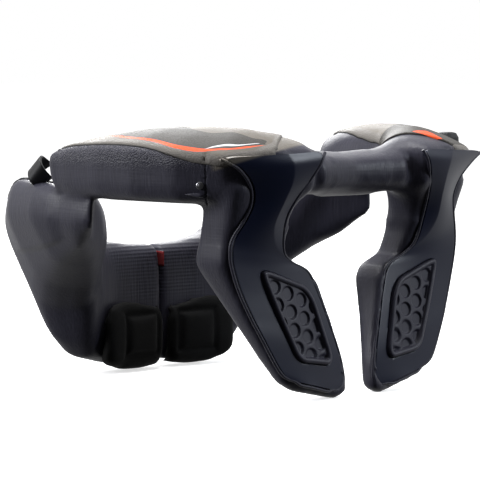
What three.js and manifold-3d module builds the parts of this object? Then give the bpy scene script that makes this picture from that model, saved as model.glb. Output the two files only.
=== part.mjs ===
// Motocross neck brace: a padded ring that stands on two rear legs and a split chest piece.
// Millimetres, +Z up. The wearer faces -Y and the wearer's left is +X.
import * as THREE from 'three';
import { mergeVertices } from 'three/addons/utils/BufferGeometryUtils.js';
import Module from 'manifold-3d';

const wasm = await Module();
wasm.setup();

// Overall sizes. The tables below hold shares of these three.
const halfWidth = 145; // middle to the outer edge of a wing
const reach = 140; // neck centre to the rearmost edge
const height = 184; // floor to the crown of a wing

// Walls, gaps and small parts
const gap = 0.3; // clearance between neighbouring pieces
const panelThickness = 1.8; // skin panel on top of a wing
const panelMargin = 4; // bare foam left around a top panel
const plateThickness = 5; // moulded plate on the back of a leg
const splitHalfGap = 0.8; // half the slit between the two chest halves
const padThickness = 11; // quilted pad inside the chest piece
const padWidth = 63;
const padHeight = 55;
const insetDepth = 2.6; // how deep the pattern inset sits in a leg plate
const rimProud = 1.2; // how far the inset's rim stands above the plate
const rimWidth = 3.2;
const cellPitch = 12.6; // spacing of the pattern's cells
const cellRadius = 5.3;
const cellDepth = 2.2;
const strapThickness = 2.4;
const strapWidth = 20;
const claspWidth = 34;
const claspHeight = 22;
const claspThickness = 6;
const keeperWidth = 25; // loop that holds the strap on the shoulder
const tabHeight = 12; // red pull tab in the slit
const tabProud = 2.5;
const rivetRadius = 4;
const rivetProud = 1;
const stopSize = 15; // raised stop on the right wing's rear corner

const vec = (x, y, z) => new THREE.Vector3(x, y, z);
const place = (x, y, z) => vec(x * halfWidth, y * reach, z * height);

// A closed ring through corner points, each corner eased by a short curve.
function easedRing(corners, ease, steps) {
  const ring = [];
  corners.forEach((corner, i) => {
    const before = corners[(i + corners.length - 1) % corners.length];
    const after = corners[(i + 1) % corners.length];
    const start = corner.clone().lerp(before, ease[i]);
    const end = corner.clone().lerp(after, ease[i]);
    const curve = new THREE.QuadraticBezierCurve3(start, corner, end);
    ring.push(...curve.getPoints(steps));
  });
  return ring;
}

// Skins a row of rings into one closed geometry, with a fan over each end.
function loft(rings) {
  const count = rings[0].length;
  const points = rings.flat();
  const triangles = [];
  for (let r = 0; r < rings.length - 1; r += 1) {
    for (let i = 0; i < count; i += 1) {
      const a = r * count + i;
      const b = r * count + ((i + 1) % count);
      triangles.push(a, b, b + count, a, b + count, a + count);
    }
  }
  [0, rings.length - 1].forEach((r) => {
    const middle = rings[r].reduce((sum, p) => sum.add(p), vec(0, 0, 0)).divideScalar(count);
    const hub = points.push(middle) - 1;
    for (let i = 0; i < count; i += 1) {
      const a = r * count + i;
      const b = r * count + ((i + 1) % count);
      if (r === 0) triangles.push(hub, b, a);
      else triangles.push(hub, a, b);
    }
  });
  const geometry = new THREE.BufferGeometry().setFromPoints(points);
  geometry.setIndex(triangles);
  return outward(geometry);
}

function signedVolume(geometry) {
  const p = geometry.getAttribute('position');
  const index = geometry.getIndex();
  const corner = [vec(), vec(), vec()];
  let sum = 0;
  for (let t = 0; t < index.count; t += 3) {
    corner.forEach((c, k) => c.fromBufferAttribute(p, index.getX(t + k)));
    sum += corner[0].dot(corner[1].cross(corner[2]));
  }
  return sum;
}

function outward(geometry) {
  if (signedVolume(geometry) > 0) return geometry;
  const index = geometry.getIndex();
  for (let t = 0; t < index.count; t += 3) {
    const keep = index.getX(t);
    index.setX(t, index.getX(t + 1));
    index.setX(t + 1, keep);
  }
  return geometry;
}

// Joins and cuts
function mergeBare(geometry) {
  const bare = geometry.clone();
  bare.deleteAttribute('normal');
  bare.deleteAttribute('uv');
  return mergeVertices(bare, 1e-4);
}

function solid(geometry) {
  const merged = mergeBare(geometry);
  return new wasm.Manifold(new wasm.Mesh({
    numProp: 3,
    vertProperties: new Float32Array(merged.getAttribute('position').array),
    triVerts: new Uint32Array(merged.getIndex().array),
  }));
}

function toGeometry(body) {
  const mesh = body.getMesh();
  const geometry = new THREE.BufferGeometry();
  geometry.setAttribute('position', new THREE.BufferAttribute(new Float32Array(mesh.vertProperties), 3));
  geometry.setIndex(Array.from(mesh.triVerts));
  return geometry;
}

// The same shape with its surface moved outwards by a distance.
function grown(geometry, distance) {
  const result = mergeBare(geometry);
  result.computeVertexNormals();
  const p = result.getAttribute('position');
  const n = result.getAttribute('normal');
  for (let i = 0; i < p.count; i += 1) {
    p.setXYZ(i, p.getX(i) + n.getX(i) * distance, p.getY(i) + n.getY(i) * distance,
      p.getZ(i) + n.getZ(i) * distance);
  }
  return result;
}

function mirrored(geometry) {
  return outward(geometry.clone().applyMatrix4(new THREE.Matrix4().makeScale(-1, 1, 1)));
}

function box(low, high) {
  const size = high.clone().sub(low);
  const middle = low.clone().add(high).multiplyScalar(0.5);
  return new THREE.BoxGeometry(size.x, size.y, size.z).translate(middle.x, middle.y, middle.z);
}

// Wing sections from its front tip round to the rear: the neck side, the outer side and the heights.
const wingSections = [
  {
    inX: 0.555, inY: -0.005, outX: 0.940, outY: -0.345,
    crown: 0.898, ridge: 0.868, under: 0.790, tuck: 0.97,
  },
  { inX: 0.520, inY: 0.055, outX: 0.970, outY: -0.300, crown: 0.935, ridge: 0.893, under: 0.750, tuck: 0.97 },
  { inX: 0.505, inY: 0.150, outX: 0.985, outY: -0.160, crown: 0.967, ridge: 0.912, under: 0.738, tuck: 0.97 },
  { inX: 0.505, inY: 0.260, outX: 0.995, outY: 0.070, crown: 0.989, ridge: 0.922, under: 0.734, tuck: 0.97 },
  { inX: 0.500, inY: 0.350, outX: 0.980, outY: 0.310, crown: 0.997, ridge: 0.922, under: 0.734, tuck: 0.97 },
  { inX: 0.480, inY: 0.460, outX: 0.925, outY: 0.560, crown: 0.999, ridge: 0.910, under: 0.732, tuck: 0.95 },
  { inX: 0.430, inY: 0.570, outX: 0.835, outY: 0.800, crown: 0.996, ridge: 0.897, under: 0.734, tuck: 0.84 },
  { inX: 0.360, inY: 0.630, outX: 0.600, outY: 0.930, crown: 0.982, ridge: 0.908, under: 0.740, tuck: 0.84 },
  { inX: 0.270, inY: 0.660, outX: 0.370, outY: 0.975, crown: 0.945, ridge: 0.916, under: 0.755, tuck: 0.90 },
];

function wingShape() {
  const rings = wingSections.map((s) => {
    const inner = (z) => place(s.inX, s.inY, z);
    const outer = (z) => place(s.outX, s.outY, z);
    const across = (share, z) => inner(z).lerp(outer(z), share);
    const corners = [
      across(0.06, s.under + 0.02),
      across(0, (s.under + s.ridge) / 2),
      across(0.03, s.crown - 0.045),
      across(0.30, s.crown),
      across(0.68, s.crown * 0.45 + s.ridge * 0.55 + 0.012),
      outer(s.ridge),
      across(s.tuck, s.under),
      across(0.50, s.under - 0.005),
    ];
    return easedRing(corners, [0.4, 0.4, 0.4, 0.45, 0.4, 0.1, 0.25, 0.4], 2);
  });
  return loft(rings);
}

// Bridge behind the neck, from one wing to the other, as sections across the middle.
const bridgeSections = [
  { x: -0.30, front: 0.660, back: 0.930, top: 0.935, edge: 0.900, under: 0.780, roll: 0.738 },
  { x: -0.18, front: 0.645, back: 0.880, top: 0.912, edge: 0.880, under: 0.792, roll: 0.732 },
  { x: 0, front: 0.635, back: 0.850, top: 0.903, edge: 0.872, under: 0.796, roll: 0.728 },
  { x: 0.18, front: 0.645, back: 0.880, top: 0.912, edge: 0.880, under: 0.792, roll: 0.732 },
  { x: 0.30, front: 0.660, back: 0.930, top: 0.935, edge: 0.900, under: 0.780, roll: 0.738 },
];

function bridgeShape() {
  const rings = bridgeSections.map((s) => {
    const depth = s.back - s.front;
    const corners = [
      place(s.x, s.front, s.roll + 0.05),
      place(s.x, s.front, s.top - 0.02),
      place(s.x, s.front + depth * 0.3, s.top),
      place(s.x, s.back - depth * 0.06, s.edge),
      place(s.x, s.back, s.under),
      place(s.x, s.front + depth * 0.4, s.roll),
    ];
    return easedRing(corners, [0.4, 0.35, 0.3, 0.2, 0.25, 0.4], 2);
  });
  return loft(rings);
}

// Leg plate, row by row from the bottom: the outer edge and the inner edge.
const plateRows = [
  { outX: 0.455, outY: 0.867, outZ: 0.086, inX: 0.160, inY: 0.870, inZ: 0.028 },
  { outX: 0.510, outY: 0.860, outZ: 0.125, inX: 0.112, inY: 0.863, inZ: 0.060 },
  { outX: 0.598, outY: 0.836, outZ: 0.245, inX: 0.132, inY: 0.850, inZ: 0.163 },
  { outX: 0.650, outY: 0.815, outZ: 0.325, inX: 0.180, inY: 0.825, inZ: 0.283 },
  { outX: 0.700, outY: 0.795, outZ: 0.413, inX: 0.228, inY: 0.800, inZ: 0.391 },
  { outX: 0.733, outY: 0.785, outZ: 0.490, inX: 0.280, inY: 0.785, inZ: 0.468 },
  { outX: 0.745, outY: 0.782, outZ: 0.545, inX: 0.395, inY: 0.788, inZ: 0.512 },
  { outX: 0.737, outY: 0.787, outZ: 0.600, inX: 0.457, inY: 0.808, inZ: 0.562 },
  { outX: 0.690, outY: 0.820, outZ: 0.674, inX: 0.474, inY: 0.864, inZ: 0.664 },
  { outX: 0.668, outY: 0.843, outZ: 0.735, inX: 0.455, inY: 0.914, inZ: 0.740 },
  { outX: 0.695, outY: 0.862, outZ: 0.800, inX: 0.414, inY: 0.965, inZ: 0.810 },
  { outX: 0.775, outY: 0.868, outZ: 0.860, inX: 0.372, inY: 0.995, inZ: 0.872 },
  { outX: 0.875, outY: 0.845, outZ: 0.897, inX: 0.338, inY: 0.990, inZ: 0.915 },
];
const plateColumns = 7;
const plateCrown = 0.012; // the plate's middle stands this share of the reach behind its edges

// A point on the plate's back face: u runs from the inner edge to the outer, v along the rows.
function platePoint(u, v) {
  const at = THREE.MathUtils.clamp(v, 0, 1) * (plateRows.length - 1);
  const low = Math.min(Math.floor(at), plateRows.length - 2);
  const [a, b] = [plateRows[low], plateRows[low + 1]];
  const inner = place(a.inX, a.inY, a.inZ).lerp(place(b.inX, b.inY, b.inZ), at - low);
  const outer = place(a.outX, a.outY, a.outZ).lerp(place(b.outX, b.outY, b.outZ), at - low);
  const point = inner.lerp(outer, u);
  point.y += plateCrown * reach * Math.sin(Math.PI * THREE.MathUtils.clamp(u, 0, 1));
  return point;
}

function plateShape(frontDepth, backDepth = 0) {
  const rings = plateRows.map((row, r) => {
    const v = r / (plateRows.length - 1);
    const back = [];
    const front = [];
    for (let c = 0; c <= plateColumns; c += 1) {
      const point = platePoint(c / plateColumns, v);
      const edge = c === 0 || c === plateColumns ? plateThickness * 0.3 : 0;
      back.push(point.clone().setY(point.y - edge + backDepth));
      front.unshift(point.clone().setY(point.y - frontDepth));
    }
    return [...back, ...front];
  });
  return loft(rings);
}

// Leg foam, section by section from the tip; the outer side stands higher than the inner by its lift.
const legSections = [
  {
    z: 0.000, lift: 0.042, outX: 0.400, inX: 0.150,
    outFront: 0.785, inFront: 0.790, outBack: 0.835, inBack: 0.862,
  },
  {
    z: 0.022, lift: 0.052, outX: 0.462, inX: 0.092,
    outFront: 0.750, inFront: 0.775, outBack: 0.845, inBack: 0.882,
  },
  {
    z: 0.110, lift: 0.052, outX: 0.535, inX: 0.098,
    outFront: 0.705, inFront: 0.757, outBack: 0.835, inBack: 0.872,
  },
  {
    z: 0.270, lift: 0.035, outX: 0.645, inX: 0.145,
    outFront: 0.640, inFront: 0.685, outBack: 0.800, inBack: 0.840,
  },
  {
    z: 0.425, lift: 0.022, outX: 0.735, inX: 0.205,
    outFront: 0.545, inFront: 0.585, outBack: 0.760, inBack: 0.805,
  },
  {
    z: 0.465, lift: 0.016, outX: 0.756, inX: 0.248,
    outFront: 0.522, inFront: 0.580, outBack: 0.757, inBack: 0.788,
  },
  {
    z: 0.505, lift: 0.010, outX: 0.772, inX: 0.388,
    outFront: 0.505, inFront: 0.575, outBack: 0.755, inBack: 0.770,
  },
  {
    z: 0.600, lift: 0, outX: 0.762, inX: 0.415,
    outFront: 0.535, inFront: 0.600, outBack: 0.762, inBack: 0.800,
  },
  {
    z: 0.700, lift: 0, outX: 0.765, inX: 0.400,
    outFront: 0.560, inFront: 0.610, outBack: 0.800, inBack: 0.860,
  },
  {
    z: 0.790, lift: 0, outX: 0.785, inX: 0.375,
    outFront: 0.575, inFront: 0.630, outBack: 0.835, inBack: 0.910,
  },
];

function legShape() {
  const rings = legSections.map((s) => easedRing([
    place(s.inX, s.inFront, s.z),
    place(s.outX, s.outFront, s.z + s.lift),
    place(s.outX, s.outBack, s.z + s.lift),
    place(s.inX, s.inBack, s.z),
  ], [0.24, 0.24, 0.16, 0.16], 3));
  return loft(rings);
}

// Chest piece, from the slit in the middle round to the side: neck side, outer side and heights.
const chestSections = [
  { inX: 0.000, inY: -0.610, outX: 0.000, outY: -0.800, topIn: 0.488, topOut: 0.478, low: 0.032 },
  { inX: 0.170, inY: -0.612, outX: 0.190, outY: -0.830, topIn: 0.495, topOut: 0.482, low: 0.014 },
  { inX: 0.330, inY: -0.595, outX: 0.390, outY: -0.862, topIn: 0.512, topOut: 0.510, low: 0.036 },
  { inX: 0.440, inY: -0.550, outX: 0.590, outY: -0.895, topIn: 0.545, topOut: 0.590, low: 0.065 },
  { inX: 0.480, inY: -0.515, outX: 0.690, outY: -0.920, topIn: 0.575, topOut: 0.680, low: 0.130 },
  { inX: 0.530, inY: -0.450, outX: 0.785, outY: -0.930, topIn: 0.630, topOut: 0.748, low: 0.265 },
  { inX: 0.580, inY: -0.345, outX: 0.885, outY: -0.780, topIn: 0.705, topOut: 0.788, low: 0.365 },
  {
    inX: 0.675, inY: -0.265, outX: 0.955, outY: -0.480,
    topIn: 0.730, topOut: 0.770, low: 0.455, fall: 0.38, lip: 0.36,
  },
  {
    inX: 0.745, inY: -0.235, outX: 0.965, outY: -0.130,
    topIn: 0.745, topOut: 0.745, low: 0.525, fall: 0.48, lip: 0.28,
  },
  {
    inX: 0.800, inY: -0.200, outX: 0.955, outY: 0.010,
    topIn: 0.745, topOut: 0.740, low: 0.590, fall: 0.60, lip: 0.20,
  },
];
const outerFall = 0.32;  // how far the outer side drops, as a share of the height, where a row gives no fall
const outerLip = 0.40;   // how far its lower lip lies above the bottom, where a row gives no lip

function chestShape() {
  const rings = chestSections.map((s) => {
    const inner = (z) => place(s.inX, s.inY, z);
    const across = (share, z) => inner(z).lerp(place(s.outX, s.outY, z), share);
    const tall = s.topOut - s.low;
    return easedRing([
      across(0.12, s.low),
      across(-0.02, s.low + tall * 0.45),
      across(0.06, s.topIn),
      across(0.55, (s.topIn + s.topOut) / 2 + 0.018),
      across(0.90, s.topOut),
      across(1.0, s.topOut - tall * (s.fall ?? outerFall)),
      across(0.86, s.low + tall * (s.lip ?? outerLip)),
      across(0.62, s.low + 0.008),
    ], [0.3, 0.4, 0.3, 0.4, 0.3, 0.35, 0.4, 0.3], 2);
  });
  return loft(rings);
}

// A flat outline given as shares of the front view, swept from one depth to another.
function frontPrism(outline, from, to) {
  const shape = new THREE.Shape(outline.map(([x, z]) => new THREE.Vector2(x * halfWidth, z * height)));
  const prism = new THREE.ExtrudeGeometry(shape, { depth: (to - from) * reach, bevelEnabled: false });
  return prism.rotateX(Math.PI / 2).translate(0, to * reach, 0);
}

// The skin of a form: a layer that starts a gap above it.
function skin(form, thickness) {
  return solid(grown(form, gap + thickness)).subtract(solid(grown(form, gap)));
}

// Region of a wing's top that its panel covers
function panelRegion() {
  const rings = wingSections.slice(0, -1).map((s, i) => {
    const inner = place(s.inX, s.inY, 0);
    const outer = place(s.outX, s.outY, 0);
    const reachAcross = inner.distanceTo(outer);
    const a = inner.clone().lerp(outer, 0.13);
    const b = inner.clone().lerp(outer, 1 - panelMargin / reachAcross);
    if (i === 0) [a, b].forEach((p) => p.add(vec(panelMargin * 0.7, panelMargin * 0.7, 0)));
    const low = (s.ridge - 0.03) * height;
    const high = height * 1.2;
    return [a.clone().setZ(low), b.clone().setZ(low), b.clone().setZ(high), a.clone().setZ(high)];
  });
  return loft(rings);
}

// Chest pad: follows the chest's neck side, station by station outwards.
const padStations = [
  { x: 0.00, low: 0.13, high: 0.82, thick: 0.45 },
  { x: 0.06, low: 0.04, high: 0.88, thick: 0.85 },
  { x: 0.35, low: 0.00, high: 0.94, thick: 1.00 },
  { x: 0.65, low: 0.02, high: 1.00, thick: 1.00 },
  { x: 0.90, low: 0.11, high: 0.93, thick: 0.85 },
  { x: 1.00, low: 0.22, high: 0.72, thick: 0.40 },
];

function chestNeckSide(x) {
  const share = x / halfWidth;
  let row = 0;
  while (row < chestSections.length - 2 && chestSections[row + 1].inX < share) row += 1;
  const [a, b] = [chestSections[row], chestSections[row + 1]];
  return THREE.MathUtils.lerp(a.inY, b.inY, (share - a.inX) / (b.inX - a.inX)) * reach;
}

function chestPadShape() {
  const rings = padStations.map((s) => {
    const x = splitHalfGap + 1 + s.x * padWidth;
    const y = chestNeckSide(x);
    const low = s.low * padHeight;
    const high = s.high * padHeight;
    const face = y + s.thick * padThickness;
    return easedRing([
      vec(x, y - padThickness, low),
      vec(x, y - padThickness, high),
      vec(x, face, high),
      vec(x, face, low),
    ], [0.1, 0.1, 0.3, 0.3], 3);
  });
  return loft(rings);
}

// Pattern inset in a leg plate, as corners on the plate: across it and along it.
const insetCorners = [
  { across: 0.13, along: 0.128 },
  { across: 0.69, along: 0.118 },
  { across: 0.70, along: 0.270 },
  { across: 0.70, along: 0.413 },
  { across: 0.58, along: 0.420 },
  { across: 0.10, along: 0.350 },
];
const latticeTilt = THREE.MathUtils.degToRad(41.5);

// Frame on the plate's back: x across and outwards, y up, z out of the plate.
function insetFrame() {
  const middle = platePoint(0.42, 0.27);
  const x = platePoint(0.7, 0.27).sub(platePoint(0.12, 0.27)).normalize();
  const up = platePoint(0.42, 0.41).sub(platePoint(0.42, 0.13)).normalize();
  const z = up.clone().cross(x).normalize();
  const y = x.clone().cross(z).negate().normalize();
  return new THREE.Matrix4().makeBasis(x, y, x.clone().cross(y).normalize()).setPosition(middle);
}

function insetOutline(shrink) {
  const toFrame = insetFrame().invert();
  const points = insetCorners.map((c) => platePoint(c.across, c.along).applyMatrix4(toFrame));
  const flat = points.map((p) => vec(p.x, p.y, 0));
  const ring = easedRing(flat, [0.18, 0.12, 0.2, 0.35, 0.14, 0.16], 3);
  const middle = ring.reduce((sum, p) => sum.add(p), vec()).divideScalar(ring.length);
  const moved = ring.map((p) => p.clone().sub(middle).setLength(p.distanceTo(middle) - shrink).add(middle));
  return new THREE.Shape(moved.map((p) => new THREE.Vector2(p.x, p.y)));
}

function insetPrism(shrink, low, high) {
  const prism = new THREE.ExtrudeGeometry(insetOutline(shrink), { depth: high - low, bevelEnabled: false });
  return prism.translate(0, 0, low).applyMatrix4(insetFrame());
}

function insetCells() {
  const spacingA = new THREE.Vector2(-cellPitch * Math.cos(latticeTilt), -cellPitch * Math.sin(latticeTilt));
  const spacingB = spacingA.clone().rotateAround(new THREE.Vector2(), Math.PI / 3);
  let cells = null;
  for (let i = -4; i <= 4; i += 1) {
    for (let j = -3; j <= 3; j += 1) {
      const x = spacingA.x * i + spacingB.x * j;
      const y = spacingA.y * i + spacingB.y * j;
      const near = Math.abs(x) < cellPitch * 2.2 && Math.abs(y) < cellPitch * 3.2;
      if (near) {
        const cell = new THREE.CylinderGeometry(cellRadius, cellRadius * 0.8, cellDepth * 2, 6);
        cell.rotateX(Math.PI / 2).rotateZ(latticeTilt).translate(x, y, rimProud * 0.4);
        const body = solid(cell.applyMatrix4(insetFrame()));
        cells = cells ? cells.add(body) : body;
      }
    }
  }
  return cells.intersect(solid(insetPrism(rimWidth + 0.8, -insetDepth - 1, rimProud * 3)));
}

function insetSolid() {
  const well = solid(insetPrism(rimWidth, rimProud * 0.4, rimProud * 3));
  return solid(insetPrism(0, -insetDepth, rimProud)).subtract(well).subtract(insetCells());
}

// Strap and clasp: bands in the front view that are laid on the chest piece.
const strapShare = strapWidth / halfWidth;
const claspShare = claspWidth / 2 / halfWidth;
const claspMiddle = 0.36; // height of the clasp's middle
const strapTop = 0.76; // the strap turns over the shoulder at this height
const strapFall = [
  [claspShare + 0.003, 0.415], [0.48, 0.530], [0.70, strapTop],
  [0.70 + strapShare, strapTop], [0.44 + strapShare, 0.430], [claspShare + 0.003, 0.305],
];
const strapOver = [[0.70, strapTop], [0.73, 1], [0.73 + strapShare, 1], [0.70 + strapShare, strapTop]];
const claspHalf = claspHeight / 2 / height;
const claspBand = [[-claspShare, claspMiddle - claspHalf], [claspShare, claspMiddle - claspHalf],
  [claspShare, claspMiddle + claspHalf], [-claspShare, claspMiddle + claspHalf]];

// The keeper rises from the shoulder towards the wing's front face.
const keeperSections = [
  { y: -0.790, top: 0.795 },
  { y: -0.765, top: 0.822 },
  { y: -0.660, top: 0.855 },
  { y: -0.560, top: 0.865 },
  { y: -0.530, top: 0.850 },
];

function keeperShape() {
  const half = keeperWidth / 2;
  const rings = keeperSections.map((s) => {
    const middle = place(0.795, s.y, s.top);
    const slant = 0.25 * keeperWidth; // the outer side lies lower
    return easedRing([
      vec(middle.x - half, middle.y, height * 0.68),
      vec(middle.x - half, middle.y + slant * 0.4, middle.z - 1),
      vec(middle.x + half, middle.y - slant * 0.4, middle.z - slant * 0.6),
      vec(middle.x + half, middle.y, height * 0.68),
    ], [0.1, 0.25, 0.25, 0.1], 2);
  });
  return loft(rings);
}

// Rivet and seam tab on a wing's side wall, cut from a layer that lies on the wall.
function rivetRegion() {
  const wall = place(0.875, 0.69, 0.803);
  const rod = new THREE.CylinderGeometry(rivetRadius, rivetRadius, rivetRadius * 8, 10);
  return rod.rotateZ(Math.PI / 2).rotateZ(THREE.MathUtils.degToRad(22)).translate(wall.x, wall.y, wall.z);
}

function seamTabRegion() {
  const shape = new THREE.Shape([[0.56, 0.762], [0.76, 0.748], [0.76, 0.768]]
    .map(([y, z]) => new THREE.Vector2(y * reach, z * height)));
  const wedge = new THREE.ExtrudeGeometry(shape, { depth: halfWidth * 0.5, bevelEnabled: false });
  const turn = new THREE.Matrix4().makeBasis(vec(0, 1, 0), vec(0, 0, 1), vec(1, 0, 0));
  return outward(mergeBare(wedge.applyMatrix4(turn).translate(halfWidth * 0.7, 0, 0)));
}

function stopShape() {
  const foot = place(-0.835, 0.640, 0.885);
  const half = stopSize / 2;
  const levels = [[0, 1], [0.75, 0.95], [0.97, 0.75], [1.02, 0.4]];
  const rings = levels.map(([rise, spread]) => easedRing([
    vec(foot.x - half * spread, foot.y - half * spread, foot.z + rise * stopSize),
    vec(foot.x + half * spread, foot.y - half * spread, foot.z + rise * stopSize),
    vec(foot.x + half * spread, foot.y + half * spread, foot.z + rise * stopSize),
    vec(foot.x - half * spread, foot.y + half * spread, foot.z + rise * stopSize),
  ], [0.3, 0.3, 0.3, 0.3], 2));
  return loft(rings);
}

// One side's solids, all on +X; the other side is their mirror image.
const wingForm = wingShape();
const legForm = legShape();
const chestForm = chestShape();
const plateForm = plateShape(plateThickness);
const plateClear = solid(grown(plateForm, gap)).add(solid(grown(plateShape(plateThickness, reach / 3), gap)));
const wingClear = solid(grown(wingForm, gap));
const insetClear = solid(insetPrism(-gap, -insetDepth - gap, rimProud * 4));
const slit = solid(box(vec(-halfWidth, -reach * 2, -height), vec(splitHalfGap, 0, height * 2)));

const wingSolid = solid(wingForm).subtract(plateClear);
const legSolid = solid(legForm).subtract(wingClear).subtract(plateClear);
const plateSolid = solid(plateForm).subtract(insetClear);
const chestSolid = solid(chestForm).subtract(wingClear).subtract(slit);
const panelSolid = skin(wingForm, panelThickness).intersect(solid(panelRegion())).subtract(plateClear);
const padSolid = solid(chestPadShape()).subtract(solid(grown(chestForm, gap)));

const plateClearRight = solid(mirrored(toGeometry(plateClear)));
const wingClearRight = solid(mirrored(toGeometry(wingClear)));
const bridgeSolid = solid(bridgeShape()).subtract(wingClear).subtract(wingClearRight)
  .subtract(plateClear).subtract(plateClearRight);

const chestSkin = skin(chestForm, strapThickness).subtract(wingClear);
const strapRegion = solid(frontPrism(strapFall, -1.15, -0.70))
  .add(solid(frontPrism(strapOver, -1.15, -0.44)));
const strapSolid = chestSkin.intersect(strapRegion);
const strapRoom = solid(grown(chestForm, strapThickness + gap * 2));
const keeperSolid = solid(keeperShape()).subtract(strapRoom).subtract(wingClear);
const chestOther = mirrored(chestForm);
const chestClear = solid(grown(chestForm, gap)).add(solid(grown(chestOther, gap)));
const claspReach = solid(grown(chestForm, claspThickness)).add(solid(grown(chestOther, claspThickness)));
const claspSolid = claspReach.subtract(chestClear).intersect(solid(frontPrism(claspBand, -1.15, -0.72)));

const tabHalf = splitHalfGap - gap;
const tabBack = chestNeckSide(0) + tabProud;
const tabTop = height * 0.475;
const tabBox = box(vec(-tabHalf, tabBack - tabProud * 4, tabTop - tabHeight), vec(tabHalf, tabBack, tabTop));
const tabSolid = solid(tabBox);
const wingLayer = skin(wingForm, rivetProud);
const rivetSolid = wingLayer.intersect(solid(rivetRegion()));
const seamTabSolid = wingLayer.intersect(solid(seamTabRegion())).subtract(solid(grown(legForm, gap)));
const stopRoom = solid(mirrored(grown(wingForm, panelThickness + gap * 2)));
const stopSolid = solid(stopShape()).subtract(stopRoom).subtract(plateClearRight);

// Materials
function finish(color, roughness, metalness = 0) {
  return () => new THREE.MeshStandardMaterial({ color, roughness, metalness });
}
const foamSkin = finish('#3c3c44', 0.75);
const panelSkin = finish('#8d8881', 0.6);
const moulded = finish('#262933', 0.4);
const padCloth = finish('#08090b', 0.9);
const rubber = finish('#121315', 0.6);
const redCloth = finish('#7a1018', 0.8);

const brace = new THREE.Group();

function add(name, body, material) {
  const mesh = new THREE.Mesh(toGeometry(body), material());
  mesh.name = name;
  brace.add(mesh);
}

function addPair(name, body, material) {
  add(`${name}_left`, body, material);
  add(`${name}_right`, solid(mirrored(toGeometry(body))), material);
}

addPair('wing_foam', wingSolid, foamSkin);
addPair('wing_panel', panelSolid, panelSkin);
addPair('wing_rivet', rivetSolid, moulded);
addPair('seam_tab', seamTabSolid, moulded);
addPair('leg_foam', legSolid, foamSkin);
addPair('leg_plate', plateSolid, moulded);
addPair('pattern_inset', insetSolid(), moulded);
addPair('chest_foam', chestSolid, foamSkin);
addPair('chest_pad', padSolid, padCloth);
add('rear_bridge', bridgeSolid, foamSkin);
add('closure_strap', strapSolid, rubber);
add('strap_keeper', keeperSolid, rubber);
add('closure_clasp', claspSolid, rubber);
add('pull_tab', tabSolid, redCloth);
add('wing_stop_right', stopSolid, rubber);

// The origin is under the middle of the brace, on the surface that it stands on.
const extent = new THREE.Box3().setFromObject(brace);
brace.position.set(0, -(extent.min.y + extent.max.y) / 2, -extent.min.z);

export default brace;
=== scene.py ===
import math

import bmesh
import bpy
from mathutils import Matrix, Vector
from mathutils.bvhtree import BVHTree
from mathutils.geometry import intersect_point_line


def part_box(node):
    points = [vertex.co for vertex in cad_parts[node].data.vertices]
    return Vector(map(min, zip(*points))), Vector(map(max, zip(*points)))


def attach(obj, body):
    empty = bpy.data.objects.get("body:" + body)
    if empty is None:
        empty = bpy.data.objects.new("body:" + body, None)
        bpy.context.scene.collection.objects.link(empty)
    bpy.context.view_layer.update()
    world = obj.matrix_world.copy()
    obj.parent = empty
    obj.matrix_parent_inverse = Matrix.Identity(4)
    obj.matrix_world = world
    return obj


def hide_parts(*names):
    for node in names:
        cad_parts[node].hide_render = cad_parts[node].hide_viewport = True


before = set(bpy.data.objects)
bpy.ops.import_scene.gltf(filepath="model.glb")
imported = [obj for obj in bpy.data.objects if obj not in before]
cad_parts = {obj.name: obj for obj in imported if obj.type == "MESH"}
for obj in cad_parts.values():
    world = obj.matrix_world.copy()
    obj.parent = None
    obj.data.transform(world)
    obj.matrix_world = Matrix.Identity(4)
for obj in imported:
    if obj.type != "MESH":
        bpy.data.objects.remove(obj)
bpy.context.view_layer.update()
scene = bpy.context.scene
print("frame loaded:", len(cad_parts), "nodes")


# Finishes

class Wire:  # one shader socket, so that node maths reads as plain sums
    def __init__(self, finish, socket):
        self.finish, self.socket = finish, socket

    def join(self, operation, other=0.0, swap=False):
        sockets = {0: other, 1: self} if swap else {0: self, 1: other}
        return self.finish.add("ShaderNodeMath", {"operation": operation}, sockets)

    def __add__(self, other):
        return self.join("ADD", other)

    def __radd__(self, other):
        return self.join("ADD", other, True)

    def __sub__(self, other):
        return self.join("SUBTRACT", other)

    def __rsub__(self, other):
        return self.join("SUBTRACT", other, True)

    def __mul__(self, other):
        return self.join("MULTIPLY", other)

    def __rmul__(self, other):
        return self.join("MULTIPLY", other, True)

    def size(self):
        return self.join("ABSOLUTE")

    def wave(self):
        return self.join("SINE")

    def ramp(self, low, high):  # 0 at low, 1 at high, soft between
        return self.finish.add("ShaderNodeMapRange", {"interpolation_type": "SMOOTHSTEP"},
                               {"Value": self, "From Min": low, "From Max": high})


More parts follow.
